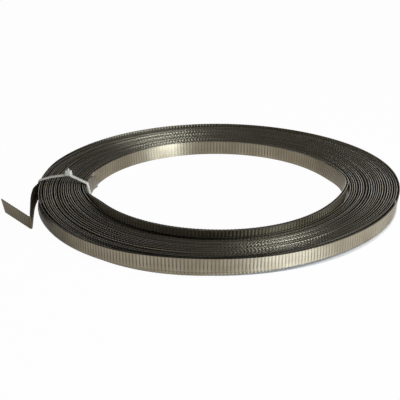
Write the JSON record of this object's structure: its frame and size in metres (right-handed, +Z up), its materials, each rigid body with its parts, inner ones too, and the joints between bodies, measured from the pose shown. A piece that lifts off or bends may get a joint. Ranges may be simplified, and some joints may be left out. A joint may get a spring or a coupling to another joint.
{
  "type": "coil of corrugated steel strip",
  "caption": "Coil of narrow corrugated steel strip lying flat, wound edge-up round an open bore, with a folded free end and a nylon cable tie round the band",
  "frame": {"origin": "on the coil axis, at the level of the floor that the coil lies on", "axes": "+Z up along the coil axis; -Y toward the viewer of the picture, on the side where the innermost turns stand highest; -X toward the cable tie and the folded free end"},
  "size_m": [0.3425, 0.3186, 0.0256],
  "materials": {
    "steel": "bare cold-rolled strip with fine cross waves, warm grey, dull and a little oily, with darker sheared edges",
    "nylon": "natural nylon, off-white and slightly translucent"
  },
  "bodies": {
    "root": {"strip_coil": "steel", "cable_tie": "nylon"}
  },
  "joints": []
}
